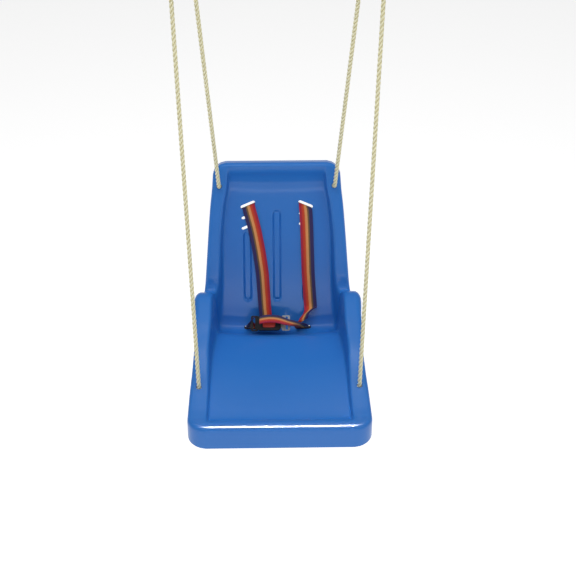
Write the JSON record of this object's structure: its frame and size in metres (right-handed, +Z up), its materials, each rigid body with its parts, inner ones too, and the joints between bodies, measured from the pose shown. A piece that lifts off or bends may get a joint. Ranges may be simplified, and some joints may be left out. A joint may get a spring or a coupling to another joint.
{
  "type": "toddler bucket swing",
  "caption": "High-back moulded toddler swing seat with a webbing harness and press-button buckle, hung on ropes from bolted beam hangers.",
  "frame": {"origin": "on the underside of the beam, midway between the two hangers and straight above the bolts' axis", "axes": "+Z up, +Y towards the backrest, +X to the right for someone who faces the seat"},
  "size_m": [0.407, 0.4259, 0.887],
  "materials": {
    "moulded_blue": "gloss",
    "rope_cream": "matte",
    "waxed_twine": "matte",
    "striped_webbing": "matte",
    "black_nylon": "satin",
    "red_button": "satin",
    "bracket_steel": "satin",
    "zinc_steel": "satin"
  },
  "bodies": {
    "hangers": {"hanger_bracket_left": "bracket_steel", "hanger_bracket_right": "bracket_steel", "hanger_screw_left_front": "zinc_steel", "hanger_screw_left_rear": "zinc_steel", "hanger_screw_right_front": "zinc_steel", "hanger_screw_right_rear": "zinc_steel", "pivot_bolt_left": "zinc_steel", "pivot_bolt_right": "zinc_steel", "pivot_nut_left": "zinc_steel", "pivot_nut_right": "zinc_steel"},
    "swing": {"buckle_base": "black_nylon", "buckle_cover": "black_nylon", "lap_keeper_left": "black_nylon", "lap_keeper_right": "black_nylon", "lap_strap_left": "striped_webbing", "lap_strap_right": "striped_webbing", "latch_spring": "zinc_steel", "rope_front_left": "rope_cream", "rope_front_right": "rope_cream", "rope_knot_front_left": "rope_cream", "rope_knot_front_right": "rope_cream", "rope_knot_rear_left": "rope_cream", "rope_knot_rear_right": "rope_cream", "rope_rear_left": "rope_cream", "rope_rear_right": "rope_cream", "rope_seizing_front_left": "waxed_twine", "rope_seizing_front_right": "waxed_twine", "rope_seizing_rear_left": "waxed_twine", "rope_seizing_rear_right": "waxed_twine", "rope_thimble_front_left": "black_nylon", "rope_thimble_front_right": "black_nylon", "rope_thimble_rear_left": "black_nylon", "rope_thimble_rear_right": "black_nylon", "rope_washer_front_left": "zinc_steel", "rope_washer_front_right": "zinc_steel", "rope_washer_rear_left": "zinc_steel", "rope_washer_rear_right": "zinc_steel", "seat_shell": "moulded_blue", "shoulder_keeper_left": "black_nylon", "shoulder_keeper_right": "black_nylon", "shoulder_strap_left": "striped_webbing", "shoulder_strap_right": "striped_webbing"},
    "button": {"buckle_button": "red_button", "buckle_latch": "zinc_steel"},
    "tongue": {"buckle_tongue": "zinc_steel"}
  },
  "joints": [
    {"name": "swing_hinge", "type": "hinge", "parent": "hangers", "child": "swing", "pos_m": [0, 0, -0.052], "axis": [1, 0, 0], "range_deg": [-50, 50]},
    {"name": "button_press", "type": "slide", "parent": "swing", "child": "button", "axis": [0, 0.766, -0.6428], "range_m": [0, 0.0018], "stiffness_N_per_m": 700, "springref_m": -0.002},
    {"name": "tongue_pull", "type": "slide", "parent": "swing", "child": "tongue", "axis": [1, 0, 0], "range_m": [0, 0.025]}
  ]
}
